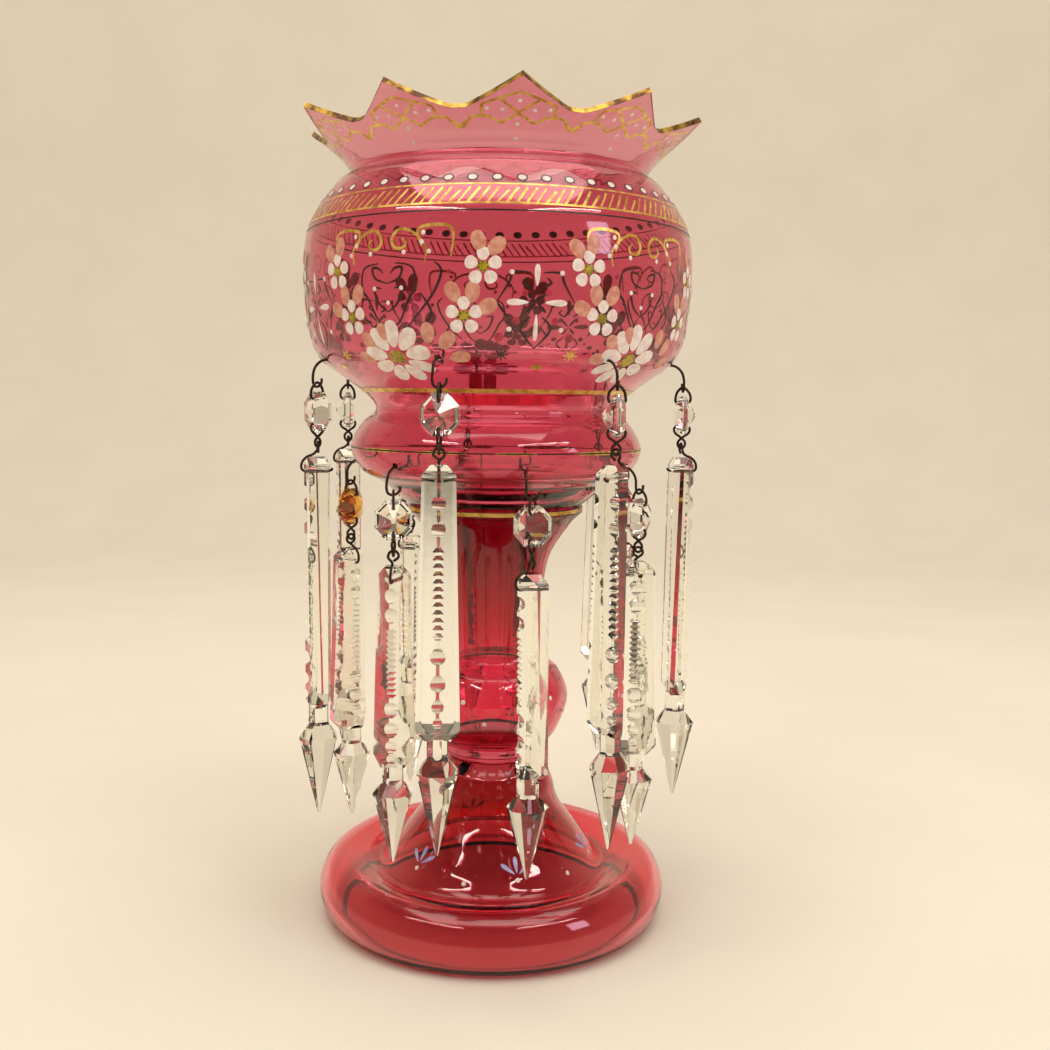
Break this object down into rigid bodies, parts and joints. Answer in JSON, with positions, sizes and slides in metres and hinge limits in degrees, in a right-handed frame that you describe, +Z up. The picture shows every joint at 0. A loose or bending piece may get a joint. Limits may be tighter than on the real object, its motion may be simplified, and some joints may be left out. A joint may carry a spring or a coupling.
{
  "type": "mantel lustre",
  "caption": "Tall enamelled cranberry glass vase with a star cut crown on a knopped stem and a round foot, hung with two rows of bead and cut crystal spear pendants on wire hooks.",
  "frame": {"origin": "middle of the flat ring that the foot stands on", "axes": "+Z up along the vase's axis, -Y towards the viewer, +X to the viewer's right"},
  "size_m": [0.1543, 0.1561, 0.3098],
  "materials": {
    "cranberry_glass": "blown, glossy",
    "clear_crystal": "cut and polished",
    "amber_crystal": "cut and polished",
    "iron_wire": "dark oxidised wire"
  },
  "bodies": {
    "glass": {"bowl": "cranberry_glass", "stem": "cranberry_glass", "merese": "cranberry_glass", "foot": "cranberry_glass"},
    "upper_hook_1": {"upper_hook_1": "iron_wire"},
    "upper_drop_1": {"upper_links_1": "iron_wire", "upper_bead_1": "clear_crystal"},
    "upper_prism_1": {"upper_prism_1": "clear_crystal"},
    "upper_hook_2": {"upper_hook_2": "iron_wire"},
    "upper_drop_2": {"upper_links_2": "iron_wire", "upper_bead_2": "clear_crystal"},
    "upper_prism_2": {"upper_prism_2": "clear_crystal"},
    "upper_hook_3": {"upper_hook_3": "iron_wire"},
    "upper_drop_3": {"upper_links_3": "iron_wire", "upper_bead_3": "clear_crystal"},
    "upper_prism_3": {"upper_prism_3": "clear_crystal"},
    "upper_hook_4": {"upper_hook_4": "iron_wire"},
    "upper_drop_4": {"upper_links_4": "iron_wire", "upper_bead_4": "clear_crystal"},
    "upper_prism_4": {"upper_prism_4": "clear_crystal"},
    "upper_hook_5": {"upper_hook_5": "iron_wire"},
    "upper_drop_5": {"upper_links_5": "iron_wire", "upper_bead_5": "clear_crystal"},
    "upper_prism_5": {"upper_prism_5": "clear_crystal"},
    "upper_hook_6": {"upper_hook_6": "iron_wire"},
    "upper_drop_6": {"upper_links_6": "iron_wire", "upper_bead_6": "clear_crystal"},
    "upper_prism_6": {"upper_prism_6": "clear_crystal"},
    "upper_hook_7": {"upper_hook_7": "iron_wire"},
    "upper_drop_7": {"upper_links_7": "iron_wire", "upper_bead_7": "clear_crystal"},
    "upper_prism_7": {"upper_prism_7": "clear_crystal"},
    "lower_hook_1": {"lower_hook_1": "iron_wire"},
    "lower_drop_1": {"lower_links_1": "iron_wire", "lower_bead_1": "clear_crystal"},
    "lower_prism_1": {"lower_prism_1": "clear_crystal"},
    "lower_hook_2": {"lower_hook_2": "iron_wire"},
    "lower_drop_2": {"lower_links_2": "iron_wire", "lower_bead_2": "clear_crystal"},
    "lower_prism_2": {"lower_prism_2": "clear_crystal"},
    "lower_hook_3": {"lower_hook_3": "iron_wire"},
    "lower_drop_3": {"lower_links_3": "iron_wire", "lower_bead_3": "clear_crystal"},
    "lower_prism_3": {"lower_prism_3": "clear_crystal"},
    "lower_hook_4": {"lower_hook_4": "iron_wire"},
    "lower_drop_4": {"lower_links_4": "iron_wire", "lower_bead_4": "clear_crystal"},
    "lower_prism_4": {"lower_prism_4": "clear_crystal"},
    "lower_hook_5": {"lower_hook_5": "iron_wire"},
    "lower_drop_5": {"lower_links_5": "iron_wire", "lower_bead_5": "clear_crystal"},
    "lower_prism_5": {"lower_prism_5": "clear_crystal"},
    "lower_hook_6": {"lower_hook_6": "iron_wire"},
    "lower_drop_6": {"lower_links_6": "iron_wire", "lower_bead_6": "amber_crystal"},
    "lower_prism_6": {"lower_prism_6": "clear_crystal"},
    "lower_hook_7": {"lower_hook_7": "iron_wire"},
    "lower_drop_7": {"lower_links_7": "iron_wire", "lower_bead_7": "clear_crystal"},
    "lower_prism_7": {"lower_prism_7": "clear_crystal"}
  },
  "joints": [
    {"name": "upper_hook_1_swing", "type": "hinge", "parent": "glass", "child": "upper_hook_1", "pos_m": [-0.02083, -0.06944, 0.2185], "axis": [-0.2874, -0.9578, 0], "range_deg": [-16, 16]},
    {"name": "upper_drop_1_swing", "type": "hinge", "parent": "upper_hook_1", "child": "upper_drop_1", "pos_m": [-0.0184, -0.06973, 0.2085], "axis": [0.9932, -0.1167, 0], "range_deg": [-25, 13]},
    {"name": "upper_prism_1_swing", "type": "hinge", "parent": "upper_drop_1", "child": "upper_prism_1", "pos_m": [-0.0184, -0.06973, 0.178], "axis": [0.0576, -0.9983, 0], "range_deg": [-16, 10]},
    {"name": "upper_hook_2_swing", "type": "hinge", "parent": "glass", "child": "upper_hook_2", "pos_m": [0.0413, -0.05958, 0.2185], "axis": [0.5697, -0.8219, 0], "range_deg": [-12.8, 16]},
    {"name": "upper_drop_2_swing", "type": "hinge", "parent": "upper_hook_2", "child": "upper_drop_2", "pos_m": [0.04129, -0.06203, 0.2085], "axis": [-0.0047, -1, 0], "range_deg": [-3.2, 25]},
    {"name": "upper_prism_2_swing", "type": "hinge", "parent": "upper_drop_2", "child": "upper_prism_2", "pos_m": [0.04129, -0.06203, 0.178], "axis": [-0.7691, -0.6392, 0], "range_deg": [-12.8, 16]},
    {"name": "upper_hook_3_swing", "type": "hinge", "parent": "glass", "child": "upper_hook_3", "pos_m": [0.07234, -0.00486, 0.2185], "axis": [0.9978, -0.067, 0], "range_deg": [-16, 5.3]},
    {"name": "upper_drop_3_swing", "type": "hinge", "parent": "upper_hook_3", "child": "upper_drop_3", "pos_m": [0.07233, -0.00241, 0.2085], "axis": [-0.0027, 1, 0], "range_deg": [-25, 4.2]},
    {"name": "upper_prism_3_swing", "type": "hinge", "parent": "upper_drop_3", "child": "upper_prism_3", "pos_m": [0.07233, -0.00241, 0.178], "axis": [-0.9985, -0.0551, 0], "range_deg": [-16, 5.3]},
    {"name": "upper_hook_4_swing", "type": "hinge", "parent": "glass", "child": "upper_hook_4", "pos_m": [0.0489, 0.05353, 0.2185], "axis": [0.6745, 0.7383, 0], "range_deg": [-16, 16]},
    {"name": "upper_drop_4_swing", "type": "hinge", "parent": "upper_hook_4", "child": "upper_drop_4", "pos_m": [0.04664, 0.05446, 0.2085], "axis": [-0.9245, 0.3813, 0], "range_deg": [-25, 13]},
    {"name": "upper_prism_4_swing", "type": "hinge", "parent": "upper_drop_4", "child": "upper_prism_4", "pos_m": [0.04664, 0.05446, 0.178], "axis": [-0.215, -0.9766, 0], "range_deg": [-7, 16]},
    {"name": "upper_hook_5_swing", "type": "hinge", "parent": "glass", "child": "upper_hook_5", "pos_m": [-0.01136, 0.07161, 0.2185], "axis": [-0.1567, 0.9876, 0], "range_deg": [-16, 8.2]},
    {"name": "upper_drop_5_swing", "type": "hinge", "parent": "upper_hook_5", "child": "upper_drop_5", "pos_m": [-0.01381, 0.07165, 0.2085], "axis": [-0.9999, 0.0172, 0], "range_deg": [-25, 6.6]},
    {"name": "upper_prism_5_swing", "type": "hinge", "parent": "upper_drop_5", "child": "upper_prism_5", "pos_m": [-0.01381, 0.07165, 0.178], "axis": [0.3258, -0.9454, 0], "range_deg": [-16, 8.2]},
    {"name": "upper_hook_6_swing", "type": "hinge", "parent": "glass", "child": "upper_hook_6", "pos_m": [-0.06306, 0.03576, 0.2185], "axis": [-0.8699, 0.4933, 0], "range_deg": [-16, 16]},
    {"name": "upper_drop_6_swing", "type": "hinge", "parent": "upper_hook_6", "child": "upper_drop_6", "pos_m": [-0.06262, 0.03335, 0.2085], "axis": [0.1813, -0.9834, 0], "range_deg": [-25, 5]},
    {"name": "upper_prism_6_swing", "type": "hinge", "parent": "upper_drop_6", "child": "upper_prism_6", "pos_m": [-0.06262, 0.03335, 0.178], "axis": [0.9968, -0.0795, 0], "range_deg": [-7, 16]},
    {"name": "upper_hook_7_swing", "type": "hinge", "parent": "glass", "child": "upper_hook_7", "pos_m": [-0.06728, -0.02701, 0.2185], "axis": [-0.928, -0.3725, 0], "range_deg": [-16, 5.3]},
    {"name": "upper_drop_7_swing", "type": "hinge", "parent": "upper_hook_7", "child": "upper_drop_7", "pos_m": [-0.06541, -0.02859, 0.2085], "axis": [0.7646, -0.6445, 0], "range_deg": [-25, 5.3]},
    {"name": "upper_prism_7_swing", "type": "hinge", "parent": "upper_drop_7", "child": "upper_prism_7", "pos_m": [-0.06541, -0.02859, 0.178], "axis": [0.9964, 0.0849, 0], "range_deg": [-16, 3.3]},
    {"name": "lower_hook_1_swing", "type": "hinge", "parent": "glass", "child": "lower_hook_1", "pos_m": [0.01106, -0.05795, 0.1805], "axis": [0.1874, -0.9823, 0], "range_deg": [-5.6, 3.2]},
    {"name": "lower_drop_1_swing", "type": "hinge", "parent": "lower_hook_1", "child": "lower_drop_1", "pos_m": [0.01331, -0.05892, 0.1705], "axis": [0.9191, -0.3939, 0], "range_deg": [-19.2, 15.4]},
    {"name": "lower_prism_1_swing", "type": "hinge", "parent": "lower_drop_1", "child": "lower_prism_1", "pos_m": [0.01331, -0.05892, 0.14], "axis": [0.9285, 0.3714, 0], "range_deg": [-12.8, 8.3]},
    {"name": "lower_hook_2_swing", "type": "hinge", "parent": "glass", "child": "lower_hook_2", "pos_m": [0.0522, -0.02749, 0.1805], "axis": [0.8848, -0.4659, 0], "range_deg": [-10, 3.6]},
    {"name": "lower_drop_2_swing", "type": "hinge", "parent": "lower_hook_2", "child": "lower_drop_2", "pos_m": [0.05377, -0.02561, 0.1705], "axis": [0.6397, 0.7686, 0], "range_deg": [-24, 5.1]},
    {"name": "lower_prism_2_swing", "type": "hinge", "parent": "lower_drop_2", "child": "lower_prism_2", "pos_m": [0.05377, -0.02561, 0.14], "axis": [0.1776, -0.9841, 0], "range_deg": [-16, 8.2]},
    {"name": "lower_hook_3_swing", "type": "hinge", "parent": "glass", "child": "lower_hook_3", "pos_m": [0.05404, 0.02368, 0.1805], "axis": [0.916, 0.4013, 0], "range_deg": [-7, 4.5]},
    {"name": "lower_drop_3_swing", "type": "hinge", "parent": "lower_hook_3", "child": "lower_drop_3", "pos_m": [0.05251, 0.02559, 0.1705], "axis": [-0.6247, 0.7809, 0], "range_deg": [-24, 6.4]},
    {"name": "lower_prism_3_swing", "type": "hinge", "parent": "lower_drop_3", "child": "lower_prism_3", "pos_m": [0.05251, 0.02559, 0.14], "axis": [-0.9474, -0.3199, 0], "range_deg": [-10, 10.2]},
    {"name": "lower_hook_4_swing", "type": "hinge", "parent": "glass", "child": "lower_hook_4", "pos_m": [0.01519, 0.05701, 0.1805], "axis": [0.2574, 0.9663, 0], "range_deg": [-7, 7]},
    {"name": "lower_drop_4_swing", "type": "hinge", "parent": "lower_hook_4", "child": "lower_drop_4", "pos_m": [0.013, 0.05812, 0.1705], "axis": [-0.8917, 0.4527, 0], "range_deg": [-24, 10]},
    {"name": "lower_prism_4_swing", "type": "hinge", "parent": "lower_drop_4", "child": "lower_prism_4", "pos_m": [0.013, 0.05812, 0.14], "axis": [-0.2064, -0.9785, 0], "range_deg": [-10, 13]},
    {"name": "lower_hook_5_swing", "type": "hinge", "parent": "glass", "child": "lower_hook_5", "pos_m": [-0.03511, 0.04742, 0.1805], "axis": [-0.595, 0.8037, 0], "range_deg": [-7, 2.6]},
    {"name": "lower_drop_5_swing", "type": "hinge", "parent": "lower_hook_5", "child": "lower_drop_5", "pos_m": [-0.03679, 0.04564, 0.1705], "axis": [-0.6882, -0.7255, 0], "range_deg": [-24, 3.6]},
    {"name": "lower_prism_5_swing", "type": "hinge", "parent": "lower_drop_5", "child": "lower_prism_5", "pos_m": [-0.03679, 0.04564, 0.14], "axis": [0.9484, -0.3171, 0], "range_deg": [-16, 8.2]},
    {"name": "lower_hook_6_swing", "type": "hinge", "parent": "glass", "child": "lower_hook_6", "pos_m": [-0.05896, 0.00212, 0.1805], "axis": [-0.9994, 0.0359, 0], "range_deg": [-4.5, 7]},
    {"name": "lower_drop_6_swing", "type": "hinge", "parent": "lower_hook_6", "child": "lower_drop_6", "pos_m": [-0.05766, 0.00419, 0.1705], "axis": [0.5308, 0.8475, 0], "range_deg": [-8.3, 24]},
    {"name": "lower_prism_6_swing", "type": "hinge", "parent": "lower_drop_6", "child": "lower_prism_6", "pos_m": [-0.05766, 0.00419, 0.14], "axis": [-0.6149, 0.7886, 0], "range_deg": [-10.2, 16]},
    {"name": "lower_hook_7_swing", "type": "hinge", "parent": "glass", "child": "lower_hook_7", "pos_m": [-0.03842, -0.04478, 0.1805], "axis": [-0.6512, -0.7589, 0], "range_deg": [-5.6, 2.3]},
    {"name": "lower_drop_7_swing", "type": "hinge", "parent": "lower_hook_7", "child": "lower_drop_7", "pos_m": [-0.03598, -0.04455, 0.1705], "axis": [0.9956, 0.0936, 0], "range_deg": [-12.8, 7.8]},
    {"name": "lower_prism_7_swing", "type": "hinge", "parent": "lower_drop_7", "child": "lower_prism_7", "pos_m": [-0.03598, -0.04455, 0.14], "axis": [0.0807, 0.9967, 0], "range_deg": [-12.8, 5.3]}
  ]
}
